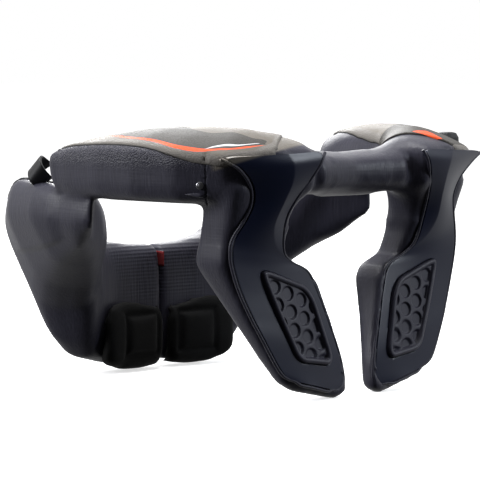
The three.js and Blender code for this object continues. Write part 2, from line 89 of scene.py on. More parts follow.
class Finish:  # one procedural material
    def __init__(self, name, **constants):
        self.material = bpy.data.materials.new(name)
        self.material.use_nodes = True
        self.nodes = self.material.node_tree.nodes
        self.shader = self.nodes["Principled BSDF"]
        for key, value in constants.items():
            self.shader.inputs[key.replace("_", " ")].default_value = value

    def add(self, kind, settings=None, sockets=None, out=0):
        node = self.nodes.new(kind)
        for key, value in (settings or {}).items():
            if key == "curve":
                line = node.mapping.curves[0]
                while len(line.points) < len(value):
                    line.points.new(0.5, 0.5)
                for point, (x, y) in zip(line.points, value):
                    point.location = (x, y)
                node.mapping.update()
            else:
                setattr(node, key, value)
        for key, value in (sockets or {}).items():
            if isinstance(value, Wire):
                self.material.node_tree.links.new(value.socket, node.inputs[key])
            else:
                node.inputs[key].default_value = value
        return Wire(self, node.outputs[out])

    def place(self, axis=None):
        spot = self.add("ShaderNodeTexCoord", out="Object")
        return spot if axis is None else self.add("ShaderNodeSeparateXYZ", {}, {0: spot}, axis)

    def stretched(self, scale):
        return self.add("ShaderNodeMapping", {}, {"Vector": self.place(), "Scale": scale})

    def grain(self, scale, detail=2.0, vector=None):
        sockets = {"Vector": vector or self.place(), "Scale": scale, "Detail": detail}
        return self.add("ShaderNodeTexNoise", {}, sockets)

    def cells(self, scale):
        return self.add("ShaderNodeTexVoronoi", {}, {"Vector": self.place(), "Scale": scale}, "Distance")

    def mixed(self, share, first, second):
        node = {"data_type": "RGBA"}
        return self.add("ShaderNodeMix", node, {0: share, 6: first, 7: second}, 2)

    def painted(self, attribute):
        return self.add("ShaderNodeAttribute", {"attribute_name": attribute}, {}, "Fac")

    def drive(self, socket, value):
        self.material.node_tree.links.new(value.socket, self.shader.inputs[socket])

    def relief(self, height, depth, strength=1.0):
        bump = self.add("ShaderNodeBump", {}, {"Height": height, "Distance": depth, "Strength": strength})
        self.drive("Normal", bump)


def tone(red, green, blue):  # a colour as the screen shows it, 0 to 255
    return tuple((c / 255) ** 2.2 for c in (red, green, blue)) + (1.0,)


# Mesh helpers

def copied(*names):  # the CAD nodes as one bmesh
    bm = bmesh.new()
    for name in names:
        bm.from_mesh(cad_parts[name].data)
    bmesh.ops.remove_doubles(bm, verts=bm.verts, dist=1e-6)
    return bm


def shown(name, bm):  # a bmesh as a piece in the scene
    mesh = bpy.data.meshes.new(name)
    bm.to_mesh(mesh)
    bm.free()
    piece = bpy.data.objects.new(name, mesh)
    scene.collection.objects.link(piece)
    mesh.shade_smooth()
    return piece


def modified(piece, kind, **settings):
    modifier = piece.modifiers.new(kind.title(), kind)
    for key, value in settings.items():
        setattr(modifier, key, value)
    return modifier


def evaluated(item):  # the mesh of a piece or curve with its modifiers and bevel
    return bpy.data.meshes.new_from_object(item.evaluated_get(bpy.context.evaluated_depsgraph_get()))


def applied(piece):
    mesh = evaluated(piece)
    piece.modifiers.clear()
    piece.data = mesh
    return piece


def taken(piece):  # a piece's mesh as a bmesh, and the piece away
    bm = bmesh.new()
    bm.from_mesh(piece.data)
    bpy.data.objects.remove(piece)
    return bm


def puffed(bm, distance):  # every point moved out along its normal
    bm.normal_update()
    for vert, normal in [(v, v.normal.copy()) for v in bm.verts]:
        vert.co += normal * distance
    return bm


def softened(bm, rounds, factor=0.5, verts=None):
    axes = {"use_axis_x": True, "use_axis_y": True, "use_axis_z": True}
    for _ in range(rounds):
        bmesh.ops.smooth_vert(bm, verts=verts or bm.verts, factor=factor, **axes)
    return bm


def remeshed(bm, voxel):
    piece = shown("remesh", bm)
    modified(piece, "REMESH", mode="VOXEL", voxel_size=voxel)
    return taken(applied(piece))


def mirrored(bm):  # the right side's twin of a left bmesh
    other = bm.copy()
    bmesh.ops.scale(other, vec=(-1, 1, 1), verts=other.verts)
    bmesh.ops.reverse_faces(other, faces=other.faces)
    return other


def finished(piece, finish, nodes=()):  # the finish, and what the piece stands for
    piece.data.materials.clear()
    piece.data.materials.append(finish.material)
    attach(piece, "root")
    if nodes:
        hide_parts(*nodes)
    return piece


def between(rows, t):  # smooth value between a table's rows, t from 0 to 1
    at = min(max(t, 0.0), 1.0) * (len(rows) - 1)
    low = min(int(at), len(rows) - 2)
    part = at - low
    a, b, c, d = (rows[min(max(low + i, 0), len(rows) - 1)] for i in (-1, 0, 1, 2))
    return [q + 0.5 * part * (r - p + part * (2 * p - 5 * q + 4 * r - s + part * (3 * q - p - 3 * r + s)))
            for p, q, r, s in zip(a, b, c, d)]


def step(low, high, value):  # 0 at low, 1 at high, soft between
    part = min(max((value - low) / (high - low), 0.0), 1.0)
    return part * part * (3 - 2 * part)


# Foam body

foam = {
    "voxel": 0.0021, "overlap": 0.0004, "rounds": 9, "saddleRounds": 60, "regrow": 0.0005,
    "seamPlace": (0.121, 0.093, 0.150), "seamTurn": math.radians(-43),
    "seamWidth": 0.0009, "seamDepth": 0.0012, "seamReach": 0.045, "seamFoot": 0.131, "seamTop": 0.169,
    "fill": 0.9,
    "pale": tone(54, 53, 64), "dark": tone(41, 41, 49), "worn": tone(76, 75, 92), "pebbleHighlight": tone(120, 118, 122),
    "foldBack": 0.099, "foldHigh": 0.0945, "foldSlope": 0.10, "foldBend": 1.6,
    "rib": 0.0026, "relief": 0.0004,
}

# Painted reflection: the left panel's beige, which stands for the top light on the skin, runs on over foam
# and plate above a sloping edge through spot.
topGlareEdge = {"spot": (0.1107, 0.1191, 0.1629), "up": (0.1768, -0.2558, 0.9504), "tone": tone(112, 106, 98)}


def paintedTopGlare(finish):  # 1 above the sloping edge at the left wing's rear end, where the top light's reflection is painted, 0 elsewhere
    height = sum(a * b for a, b in zip(topGlareEdge["spot"], topGlareEdge["up"]))
    rise = sum((finish.place(k) * topGlareEdge["up"][k] for k in (1, 2)), finish.place(0) * topGlareEdge["up"][0])
    return rise.ramp(height - 0.0012, height + 0.0014) * finish.place(1).ramp(0.098, 0.104)


def foamFinish(name):
    finish = Finish(name, IOR=1.42, Sheen_Weight=0.03, Sheen_Roughness=0.5)
    side, along, height = finish.place(0).size(), finish.place(1), finish.place(2)
    weave = finish.grain(760.0, 1.0, finish.stretched((1.0, 1.0, 0.05)))  # fine upright ribs
    cross = finish.grain(700.0, 1.0, finish.stretched((0.06, 0.06, 1.0)))
    pebbles = finish.cells(980.0)
    ridge = height.ramp(0.152, 0.167) * side.ramp(0.090, 0.108)  # the pebbled band under the wing's edge, where pale dots are painted as highlights of the top light
    ribs = (height * (2 * math.pi / foam["rib"])).wave()
    inside = along.ramp(-0.085, -0.095) * height.ramp(0.045, 0.060) * side.ramp(0.075, 0.060)
    blotch = finish.grain(9.0, 3.0)
    worn = finish.mixed(weave * 0.4, finish.mixed(blotch, foam["dark"], foam["pale"]), foam["worn"])
    # painted highlights: pale dots on the pebbles of that band, where the top light catches them; the pebbles
    # themselves are real
    withPebbleHighlights = finish.mixed(ridge * pebbles.ramp(0.42, 0.25) * 0.55, worn, foam["pebbleHighlight"])
    # painted reflection: the foam above the sloping edge takes the lit beige of the top light
    finish.drive("Base Color", finish.mixed(paintedTopGlare(finish), withPebbleHighlights, topGlareEdge["tone"]))
    finish.drive("Roughness", weave * 0.14 + blotch * 0.08 + 0.36)
    forward = along + foam["foldBack"]  # from here on, the fold below each shoulder
    fold = height - (forward * foam["foldSlope"] + forward * forward * foam["foldBend"] + foam["foldHigh"])
    lobe = fold.ramp(-0.0045, 0.001) * side.ramp(0.100, 0.112)
    lobe = lobe * along.ramp(-0.035, -0.055) * along.ramp(-0.128, -0.105)
    woven = weave * 0.6 + cross * 0.25 + ridge * pebbles * 1.6 + inside * ribs * 0.35
    finish.relief(woven + lobe * 5.0, foam["relief"], 0.85)
    return finish


foamSkin = foamFinish("ribbedFoamSkin")


def sewnSeam(bm):  # a groove down the outer wall, between the wing and the leg
    place = Vector(foam["seamPlace"])
    across = Vector((math.sin(foam["seamTurn"]), math.cos(foam["seamTurn"]), 0.0))
    for shift in (-1, 0, 1):
        near = [v for v in bm.verts if (v.co - place).length < foam["seamReach"]]
        reach = {f for v in near for f in v.link_faces}
        parts = list({e for f in reach for e in f.edges}) + list({v for f in reach for v in f.verts})
        parts += list(reach)
        cut = place + across * foam["seamWidth"] * shift
        bmesh.ops.bisect_plane(bm, geom=parts, plane_co=cut, plane_no=across, dist=1e-6)
    bm.normal_update()
    for vert in bm.verts:
        off = vert.co - place
        if abs(off.dot(across)) < 2e-5 and off.length < foam["seamReach"] - 0.001 and vert.normal.x > 0.3:
            fade = step(foam["seamFoot"], foam["seamFoot"] + 0.004, vert.co.z)
            fade *= step(foam["seamTop"], foam["seamTop"] - 0.004, vert.co.z)
            vert.co -= vert.normal * foam["seamDepth"] * fade
    return bm


def foamBody():
    nodes = ("wing_foam_left", "chest_foam_left", "leg_foam_left", "rear_bridge")
    bm = remeshed(puffed(copied(*nodes), foam["overlap"]), foam["voxel"])
    softened(bm, foam["rounds"])
    puffed(bm, foam["regrow"])
    saddle = [v for v in bm.verts if 0.026 < v.co.x < 0.080 and v.co.y > 0.070 and v.co.z > 0.118]
    softened(bm, foam["saddleRounds"], verts=saddle)  # the bridge flows into the legs
    sewnSeam(bm)
    parts = bm.verts[:] + bm.edges[:] + bm.faces[:]
    bmesh.ops.bisect_plane(bm, geom=parts, plane_no=(1, 0, 0), clear_inner=True, dist=1e-6)
    return bm


wingBm = foamBody()
wingTree = BVHTree.FromBMesh(wingBm)
bmesh.ops.mirror(wingBm, geom=wingBm.verts[:] + wingBm.edges[:] + wingBm.faces[:], axis="X", merge_dist=1e-5)
bmesh.ops.recalc_face_normals(wingBm, faces=wingBm.faces)
softened(wingBm, 3, verts=[v for v in wingBm.verts if abs(v.co.x) < 0.006 and v.co.y > 0])
finished(shown("foamBody", wingBm), foamSkin,
         ("wing_foam_left", "wing_foam_right", "chest_foam_left", "chest_foam_right",
          "leg_foam_left", "leg_foam_right", "rear_bridge"))
print("foam body made")


# Top panels

panel = {
    "start": 0.05, "rows": 120, "columns": 56, "lift": 0.0013, "sink": 0.0007, "edge": 0.0028, "wall": 0.0012,
    "innerReach": 0.10, "outerReach": 0.02,  # past the CAD panel, as shares of its width
    "fold": [(0, 0), (0.45, 0), (0.58, 0.0015), (0.70, 0.0045), (0.80, 0.0075), (0.90, 0.0085), (1, 0.006)],
    "innerFold": [(0, -0.016), (0.30, -0.014), (0.44, -0.003), (0.52, 0.001), (0.62, 0.0045), (0.74, 0.0055),
                  (0.86, 0.002), (1, 0)],
    "roundFrom": 0.90, "frontEnd": 0.15, "nudge": 0.0012, "missHeight": 0.168, "length": 0.18,
    # The beige of pale and dark, and of border below, is painted reflection: the strong top light on the dark
    # skin.
    "pale": tone(108, 101, 92), "dark": tone(96, 90, 82),
    # rim is painted shade: the shadow in the groove round the panel's edge.
    "border": tone(112, 108, 103), "rim": tone(22, 22, 24),
}
orange, plainWhite, darkPrint = tone(232, 84, 36), tone(225, 225, 228), tone(58, 55, 51)
prints = {  # marks as middle and half width across the panel, against the way along it, both 0 to 1
    "left": [
        {"tone": darkPrint,
         "line": [(0, 0.30), (0.25, 0.50), (0.385, 0.51), (0.571, 0.62), (0.66, 0.72), (0.773, 0.785),
                  (0.865, 0.724), (0.932, 0.57), (0.96, 0.5), (1, 0.5)],
         "half": [(0, 0.0), (0.20, 0.0), (0.25, 0.20), (0.385, 0.31), (0.571, 0.27), (0.66, 0.22),
                  (0.773, 0.215), (0.865, 0.236), (0.932, 0.25), (0.955, 0.03), (0.965, 0.0), (1, 0.0)]},
        {"tone": orange,
         "line": [(0, 0.55), (0.18, 0.60), (0.251, 0.69), (0.385, 0.821), (0.571, 0.892), (0.741, 0.998),
                  (0.834, 1.0), (0.903, 0.909), (0.93, 0.841), (0.961, 0.612), (1, 0.4)],
         "half": [(0, 0.0), (0.18, 0.0), (0.24, 0.012), (0.57, 0.026), (0.74, 0.030), (0.90, 0.030),
                  (0.94, 0.070), (0.965, 0.0), (1, 0.0)]},
        {"tone": plainWhite,
         "line": [(0, 0.99), (0.82, 0.99), (0.838, 0.942), (0.906, 0.744), (0.944, 0.518), (1, 0.3)],
         "half": [(0, 0.0), (0.825, 0.0), (0.838, 0.018), (0.935, 0.022), (0.942, 0.0), (1, 0.0)]},
    ],
    "right": [
        {"tone": darkPrint,
         "line": [(0, 0.40), (1, 0.40)],
         "half": [(0, 0.0), (0.67, 0.0), (0.70, 0.6), (1, 0.6)]},
        {"tone": orange,
         "line": [(0, 1.0), (0.28, 1.0), (0.724, 0.35), (0.964, 0.0), (1, -0.05)],
         "half": [(0, 0.0), (0.87, 0.0), (0.88, 0.14), (0.96, 0.14), (0.97, 0.0), (1, 0.0)]},
    ],
}


def slices(name, count):  # the lowest and highest x of a node at even steps of y
    low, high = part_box(name)
    bm = copied(name)
    table = []
    for i in range(count + 1):
        y = low[1] + (high[1] - low[1]) * (0.004 + 0.992 * i / count)
        found = []
        for edge in bm.edges:
            a, b = edge.verts[0].co, edge.verts[1].co
            if (a.y - y) * (b.y - y) <= 0 and abs(a.y - b.y) > 1e-9:
                found.append(a.x + (b.x - a.x) * (y - a.y) / (b.y - a.y))
        table.append((min(found), max(found), y))
    bm.free()
    return table


def curved(points, at):  # a value read off a bent line of pairs
    for (a, low), (b, high) in zip(points, points[1:]):
        if at <= b:
            return low + (high - low) * (at - a) / (b - a)
    return points[-1][1]


def onWing(x, y, v):  # the spot on the wing below x and y, and the way its surface faces
    for nudge in range(16):  # the front end stays on top, off the wing's outer corner
        above = Vector((x - panel["nudge"] * nudge, y, 0.25))
        spot, facing = wingTree.ray_cast(above, Vector((0, 0, -1)))[:2]
        if v > panel["frontEnd"] or (spot is not None and facing.z > 0.55):
            break
    if spot is None:
        spot, facing = wingTree.find_nearest(Vector((x, y, panel["missHeight"])))[:2]
    return spot, facing


def bulge(share):  # height of a quarter round, 0 to 1
    return math.sqrt(max(0.0, 1 - (1 - share) ** 2))


def panelBm():
    table = slices("wing_panel_left", 60)
    bm = bmesh.new()
    bmesh.ops.create_grid(bm, x_segments=panel["columns"], y_segments=panel["rows"], size=0.5)
    rim, crossing, lengthwise = (bm.verts.layers.float.new(name) for name in ("rim", "across", "along"))
    for vert in bm.verts:
        u = 0.5 - 0.5 * math.cos((vert.co.x + 0.5) * math.pi)
        v = 0.5 - 0.5 * math.cos((vert.co.y + 0.5) * math.pi)
        v = panel["start"] + (1 - panel["start"]) * v
        inner, outer, y = between(table, v)
        if v > panel["roundFrom"]:  # rounded rear end
            turn = 1 - bulge((1 - v) / (1 - panel["roundFrom"]))
            inner, outer = inner + (outer - inner) * 0.20 * turn, outer - (outer - inner) * 0.10 * turn
        width = outer - inner
        innerLap = panel["innerReach"] + curved(panel["innerFold"], v) / width
        reach = 1 + innerLap + panel["outerReach"] + curved(panel["fold"], v) / width
        share = u * reach - innerLap  # 0 at the inner edge of the built panel, 1 at its outer edge
        beyond = max(0.0, share - 1 - panel["outerReach"]) * width
        short = max(0.0, -panel["innerReach"] - share) * width
        x = inner + width * max(-panel["innerReach"], min(share, 1 + panel["outerReach"]))
        spot, facing = onWing(x, y, v)
        if beyond > 0:  # down the outer wall
            spot, facing = wingTree.find_nearest(spot + Vector((beyond * 0.35, 0, -beyond)))[:2]
        if short > 0:  # down the neck side
            spot, facing = wingTree.find_nearest(spot + Vector((-short * 0.45, 0, -short * 0.9)))[:2]
        gap = min(u * reach * width, (1 - u) * reach * width)
        gap = min(gap, (v - panel["start"]) * panel["length"], (1 - v) * panel["length"])
        vert[rim], vert[crossing], vert[lengthwise] = gap, share, v
        rise = bulge(min(gap / panel["edge"], 1.0))
        vert.co = spot + facing * ((panel["lift"] + panel["sink"]) * rise - panel["sink"])
    bmesh.ops.recalc_face_normals(bm, faces=bm.faces)
    return bm


def panelFinish(name, side):
    finish = Finish(name, IOR=1.4, Specular_IOR_Level=0.35)
    pebbles = finish.cells(900.0)
    patch = finish.grain(14.0, 3.0)
    rim, across, lengthwise = finish.painted("rim"), finish.painted("across"), finish.painted("along")
    border = rim.ramp(0.0075, 0.0055)
    # painted reflection: the beige ground stands for the top light on the dark skin; the prints laid over it
    # are real
    base = finish.mixed(border, finish.mixed(patch, panel["dark"], panel["pale"]), panel["border"])
    for mark in prints[side]:
        middle = finish.add("ShaderNodeFloatCurve", {"curve": mark["line"]}, {"Value": lengthwise})
        half = finish.add("ShaderNodeFloatCurve", {"curve": mark["half"]}, {"Value": lengthwise})
        away = (across - middle).size()
        base = finish.mixed((half - away).ramp(-0.004, 0.004), base, mark["tone"])
    # painted shade: the groove's shadow along the panel's edge, left off at its rear end
    paintedGrooveShade = rim.ramp(0.0012, 0.0003) * lengthwise.ramp(0.90, 0.86)
    finish.drive("Base Color", finish.mixed(paintedGrooveShade, base, panel["rim"]))
    finish.drive("Roughness", pebbles * 0.2 + patch * 0.08 + 0.38)
    finish.relief(pebbles * 0.35 + border * pebbles.ramp(0.2, 0.7) * 0.5, 0.00028, 0.6)
    return finish


def madePanel(name, bm, finish, node):
    piece = shown(name, bm)
    modified(piece, "SOLIDIFY", thickness=panel["wall"], offset=-1.0)
    return finished(applied(piece), finish, (node,))


leftPanelBm = panelBm()
rightPanelBm = mirrored(leftPanelBm)
madePanel("topPanelLeft", leftPanelBm, panelFinish("panelPrintLeft", "left"), "wing_panel_left")
madePanel("topPanelRight", rightPanelBm, panelFinish("panelPrintRight", "right"), "wing_panel_right")
print("top panels made")


# Leg plates and their cell insets

plate = {
    "halfWidth": 0.145, "reach": 0.140, "height": 0.184, "shift": -0.004,  # sizes that the rows are shares of
    "rows": [  # outer edge across, back, up, then inner edge across, back, up, from the tip to the top
        (0.455, 0.867, 0.086, 0.160, 0.870, 0.028),
        (0.510, 0.860, 0.125, 0.112, 0.863, 0.060),
        (0.598, 0.836, 0.245, 0.132, 0.850, 0.163),
        (0.650, 0.815, 0.325, 0.180, 0.825, 0.283),
        (0.700, 0.795, 0.413, 0.228, 0.800, 0.391),
        (0.733, 0.785, 0.490, 0.280, 0.785, 0.468),
        (0.745, 0.782, 0.545, 0.395, 0.788, 0.512),
        (0.737, 0.787, 0.600, 0.457, 0.808, 0.562),
        (0.690, 0.820, 0.674, 0.474, 0.864, 0.664),
        (0.668, 0.843, 0.735, 0.455, 0.914, 0.740),
        (0.695, 0.862, 0.800, 0.414, 0.965, 0.810),
        (0.775, 0.868, 0.860, 0.372, 0.995, 0.872),
        (0.875, 0.845, 0.897, 0.338, 0.990, 0.915),
    ],
    "columns": 60, "lines": 170, "thickness": 0.0042, "crown": 0.0017, "bevel": 0.0009,
    "cornerAcross": 0.13, "cornerAlong": 0.05, "fold": 0.40, "foldDepth": 0.0045,
}
inset = {
    "corners": [(0.13, 0.128), (0.69, 0.118), (0.70, 0.270), (0.70, 0.413), (0.58, 0.420), (0.10, 0.350)],
    "easing": [0.26, 0.22, 0.3, 0.40, 0.26, 0.26], "lift": 0.0015, "gap": 0.0006, "spokes": 260, "rings": 84,
    "proud": 0.0019, "rim": 0.0038, "depth": 0.0026, "pitch": 0.0126, "radius": 0.0050, "cellDepth": 0.0016,
    "tilt": math.radians(41.5), "walls": 0.05,  # walls is the share of the rings that goes down the side
}


def platePoint(u, v):  # a spot on the plate's outside: u from inner to outer edge, v from tip to top
    sizes = (plate["halfWidth"], plate["reach"], plate["height"])
    row = between(plate["rows"], v)
    outer = Vector([a * b for a, b in zip(row[:3], sizes)])
    inner = Vector([a * b for a, b in zip(row[3:], sizes)])
    point = inner.lerp(outer, u)
    point.y += plate["crown"] * math.sin(math.pi * min(max(u, 0.0), 1.0)) + plate["shift"]
    # the strip beside the neck edge is folded back
    fold = plate["fold"] * step(0.52, 0.66, v) * (0.55 + 0.45 * v)
    point.y -= plate["foldDepth"] * max(0.0, fold - u) / plate["fold"] * step(0.52, 0.70, v)
    return point


def insetPlace():  # the inset's own axes: across, along, out of the plate
    middle = sum((platePoint(u, v) for u, v in inset["corners"]), Vector()) / len(inset["corners"])
    across = (platePoint(0.7, 0.27) - platePoint(0.12, 0.27)).normalized()
    up = (platePoint(0.42, 0.41) - platePoint(0.42, 0.13)).normalized()
    out = up.cross(across).normalized()
    if out.y < 0:
        out = -out
    up = out.cross(across).normalized()
    return Matrix.Translation(middle) @ Matrix((across, up, out)).transposed().to_4x4()


def easedOutline(corners, easing, steps=8):
    ring = []
    for i, corner in enumerate(corners):
        before = corner.lerp(corners[i - 1], easing[i])
        after = corner.lerp(corners[(i + 1) % len(corners)], easing[i])
        for k in range(steps + 1):
            t = k / steps
            ring.append(before.lerp(corner, t).lerp(corner.lerp(after, t), t))
    return ring


insetSpot = insetPlace()
insetBack = insetSpot.inverted()
insetCorners = [Vector((*(insetBack @ platePoint(u, v))[:2], 0.0)) for u, v in inset["corners"]]
insetRing = easedOutline(insetCorners, inset["easing"])


def toRing(point):  # distance to the inset's outline and the nearest spot on it, minus inside
    best, spot = 1e9, None
    inside = False
    for i, b in enumerate(insetRing):
        a = insetRing[i - 1]
        near, share = intersect_point_line(point, a, b) if (b - a).length > 1e-9 else (b, 0.0)
        near = a if share < 0 else b if share > 1 else near
        distance = (point - near).length
        if distance < best:
            best, spot = distance, near
        if (a.y > point.y) != (b.y > point.y) and point.x < (b.x - a.x) * (point.y - a.y) / (b.y - a.y) + a.x:
            inside = not inside
    return (-best if inside else best), spot


def plateBm():
    bm = bmesh.new()
    bmesh.ops.create_grid(bm, x_segments=plate["columns"], y_segments=plate["lines"], size=0.5)
    for vert in bm.verts:
        u, v = vert.co.x + 0.5, vert.co.y + 0.5
        for end in (v, 1 - v):
            if end < plate["cornerAlong"]:  # round the corners of the tip and the top
                share = 1 - bulge(end / plate["cornerAlong"])
                u = plate["cornerAcross"] * share + u * (1 - 2 * plate["cornerAcross"] * share)
        vert.co = platePoint(u, v)
    gaps = {}
    for vert in bm.verts:
        flat = insetBack @ vert.co
        if abs(flat.x) < 0.05 and abs(flat.y) < 0.05:
            gaps[vert] = toRing(Vector((flat.x, flat.y, 0.0)))
    gone = [f for f in bm.faces if all(v in gaps and gaps[v][0] < inset["gap"] + 0.0003 for v in f.verts)]
    bmesh.ops.delete(bm, geom=gone, context="FACES")
    for vert in [v for v in bm.verts if v.is_boundary and v in gaps and gaps[v][0] < 0.004]:
        flat = insetBack @ vert.co
        distance, near = gaps[vert]
        away = (Vector((flat.x, flat.y, 0.0)) - near).normalized() * (1 if distance > 0 else -1)
        vert.co = insetSpot @ Vector((near.x + away.x * inset["gap"], near.y + away.y * inset["gap"], flat.z))
    bmesh.ops.recalc_face_normals(bm, faces=bm.faces)
    bm.normal_update()
    if sum(f.normal.y for f in bm.faces) < 0:
        bmesh.ops.reverse_faces(bm, faces=bm.faces)
    return bm


def plateFinish():
    finish = Finish("satinPlate", IOR=1.5, Specular_IOR_Level=0.45)
    dark, pale = tone(12, 20, 44), tone(20, 29, 54)
    speck = finish.grain(1600.0, 1.0)
    smear = finish.grain(22.0, 4.0)
    shell = finish.mixed(smear, dark, pale)
    # painted reflection: above the sloping edge the plate is painted the lit beige of the top light
    finish.drive("Base Color", finish.mixed(paintedTopGlare(finish), shell, topGlareEdge["tone"]))
    finish.drive("Roughness", smear * 0.10 + speck * 0.06 + 0.27)
    finish.relief(speck, 0.00006, 0.35)
    return finish


satinPlate = plateFinish()
piping = {"away": 0.0018, "sink": 0.0012, "radius": 0.0011, "high": 0.985, "steps": 90}


def pipingBm():  # a soft bead in the foam, round the plate from its top, past the tip and back
    sides = [[], []]
    for k in range(piping["steps"] + 1):
        v = piping["high"] * k / piping["steps"]
        share = 0.0
        if v < plate["cornerAlong"]:
            share = plate["cornerAcross"] * (1 - bulge(v / plate["cornerAlong"]))
        for line, u, way in ((sides[0], share, -1), (sides[1], 1 - share, 1)):
            wide = (platePoint(1, v) - platePoint(0, v)).normalized()
            line.append(platePoint(u, v) + wide * way * piping["away"] - Vector((0, piping["sink"], 0)))
    tip = (platePoint(0.5, 0.0) - platePoint(0.5, 0.05)).normalized() * piping["away"]
    bottom = [platePoint(u, 0.0) + tip - Vector((0, piping["sink"], 0)) for u in (0.2, 0.35, 0.5, 0.65, 0.8)]
    route = sides[0][::-1] + bottom + sides[1]
    curve = bpy.data.curves.new("pipingRoute", "CURVE")
    curve.dimensions, curve.resolution_u = "3D", 2
    curve.bevel_depth, curve.bevel_resolution, curve.use_fill_caps = piping["radius"], 3, True
    spline = curve.splines.new("BEZIER")
    spline.bezier_points.add(len(route) - 1)
    for point, place in zip(spline.bezier_points, route):
        point.co, point.handle_left_type, point.handle_right_type = place, "AUTO", "AUTO"
    wire = bpy.data.objects.new("pipingRoute", curve)
    scene.collection.objects.link(wire)
    bm = bmesh.new()
    bm.from_mesh(evaluated(wire))
    bpy.data.objects.remove(wire)
    return bm


leftPiping = pipingBm()
rightPiping = mirrored(leftPiping)
finished(shown("platePipingLeft", leftPiping), foamSkin, ())
finished(shown("platePipingRight", rightPiping), foamSkin, ())


def madePlate(name, bm, node):
    piece = shown(name, bm)
    modified(piece, "SOLIDIFY", thickness=plate["thickness"], offset=-1.0, use_even_offset=True)
    modified(piece, "BEVEL", width=plate["bevel"], segments=3, limit_method="ANGLE",
             angle_limit=math.radians(50))
    return finished(applied(piece), satinPlate, (node,))


leftPlateBm = plateBm()
rightPlateBm = mirrored(leftPlateBm)
madePlate("legPlateLeft", leftPlateBm, "leg_plate_left")
madePlate("legPlateRight", rightPlateBm, "leg_plate_right")
print("leg plates made")


def insetHeight(x, y, gap):  # gap is the way in from the outline
    rim = inset["rim"]
    if gap < rim:  # a half round bead
        return inset["proud"] * math.sqrt(max(0.0, 1 - (2 * gap / rim - 1) ** 2)) - 0.0002
    a = Vector((math.cos(inset["tilt"]), math.sin(inset["tilt"])))
    b = Vector((math.cos(inset["tilt"] + math.pi / 3), math.sin(inset["tilt"] + math.pi / 3)))
    det = a.x * b.y - a.y * b.x
    i = (x * b.y - y * b.x) / det / inset["pitch"]
    j = (a.x * y - a.y * x) / det / inset["pitch"]
    near = min(math.hypot(x - (a.x * m + b.x * n) * inset["pitch"], y - (a.y * m + b.y * n) * inset["pitch"])
               for m in (math.floor(i), math.floor(i) + 1)
               for n in (math.floor(j), math.floor(j) + 1))
    dish = 1 - step(inset["radius"] - 0.0009, inset["radius"] + 0.0003, near)
    return -0.0002 - inset["cellDepth"] * dish * step(rim + 0.0002, rim + 0.0010, gap)


def insetBm():  # rings of points from the middle to the outline, then down the side
    bm = bmesh.new()
    bmesh.ops.create_grid(bm, x_segments=inset["spokes"], y_segments=inset["rings"], size=0.5)
    reach = []
    for k in range(inset["spokes"] + 1):
        angle = 2 * math.pi * k / inset["spokes"]
        ray = Vector((math.cos(angle), math.sin(angle)))
        best = 0.0
        for i, b in enumerate(insetRing):
            a, b = insetRing[i - 1].xy, b.xy
            side = b - a
            det = ray.x * side.y - ray.y * side.x
            if abs(det) > 1e-12:
                far = (a.x * side.y - a.y * side.x) / det
                share = (a.x * ray.y - a.y * ray.x) / det
                if far > 0 and -1e-6 <= share <= 1 + 1e-6:
                    best = max(best, far)
        reach.append(best)
    for vert in bm.verts:
        u, v = vert.co.x + 0.5, vert.co.y + 0.5
        k = round(u * inset["spokes"]) % inset["spokes"]
        angle = 2 * math.pi * k / inset["spokes"]
        inward = min(v / (1 - inset["walls"]), 1.0)
        inward = inward * (1.35 - 0.35 * inward)
        spot = Vector((math.cos(angle), math.sin(angle), 0.0)) * reach[k] * inward
        gap = 0.0 if inward >= 1 else -toRing(spot)[0]
        z = insetHeight(spot.x, spot.y, gap)
        if v > 1 - inset["walls"]:
            z -= (inset["depth"] + inset["lift"] + z) * (v - 1 + inset["walls"]) / inset["walls"]
        vert.co = insetSpot @ Vector((spot.x, spot.y, z + inset["lift"]))
    bmesh.ops.remove_doubles(bm, verts=bm.verts, dist=1e-6)
    bm.normal_update()
    if sum(f.normal.y for f in bm.faces) < 0:
        bmesh.ops.reverse_faces(bm, faces=bm.faces)
    return bm


def insetFinish():
    finish = Finish("honeycombRubber", IOR=1.46)
    speck = finish.grain(1400.0, 1.0)
    smear = finish.grain(40.0, 3.0)
    finish.drive("Base Color", finish.mixed(smear, tone(46, 46, 58), tone(60, 59, 72)))
    finish.drive("Roughness", smear * 0.1 + 0.45)
    finish.relief(speck, 0.00008, 0.5)
    return finish


honeycomb = insetFinish()
leftInsetBm = insetBm()
rightInsetBm = mirrored(leftInsetBm)
finished(shown("honeycombLeft", leftInsetBm), honeycomb, ("pattern_inset_left",))
finished(shown("honeycombRight", rightInsetBm), honeycomb, ("pattern_inset_right",))
print("honeycomb insets made")


# Chest pads

pad = {"voxel": 0.0034, "start": -0.0012, "pressure": 5.0, "cap": 0.0055, "frames": 20,
       "quiltMiddle": (0.40, 0.50), "quiltHalf": (0.26, 0.27), "quiltDepth": 0.0016, "fill": 0.7}


def padFinish():
    finish = Finish("brushedPadCloth", IOR=1.3, Sheen_Weight=0.02, Sheen_Roughness=0.4)
    nap = finish.grain(1500.0, 2.0)
    weave = finish.cells(1300.0)
    finish.drive("Base Color", finish.mixed(nap, tone(3, 3, 4), tone(9, 9, 11)))
    finish.drive("Roughness", nap * 0.15 + 0.72)
    finish.relief(nap * 0.6 + weave * 0.6, 0.00030, 0.7)
    return finish


padCloth = padFinish()


def swollen(piece, settings):  # a short cloth simulation with air inside, then fixed
    start = [v.co.copy() for v in piece.data.vertices]
    cloth = piece.modifiers.new("Cloth", "CLOTH")
    cloth.settings.use_pressure = True
    cloth.settings.uniform_pressure_force = settings["pressure"]
    cloth.settings.effector_weights.gravity = 0.0
    for f in range(1, settings["frames"] + 1):
        scene.frame_set(f)
    applied(piece)
    scene.frame_set(1)
    for vert, home in zip(piece.data.vertices, start):
        move = vert.co - home
        if move.length > settings["cap"]:
            vert.co = home + move.normalized() * settings["cap"]
    return piece


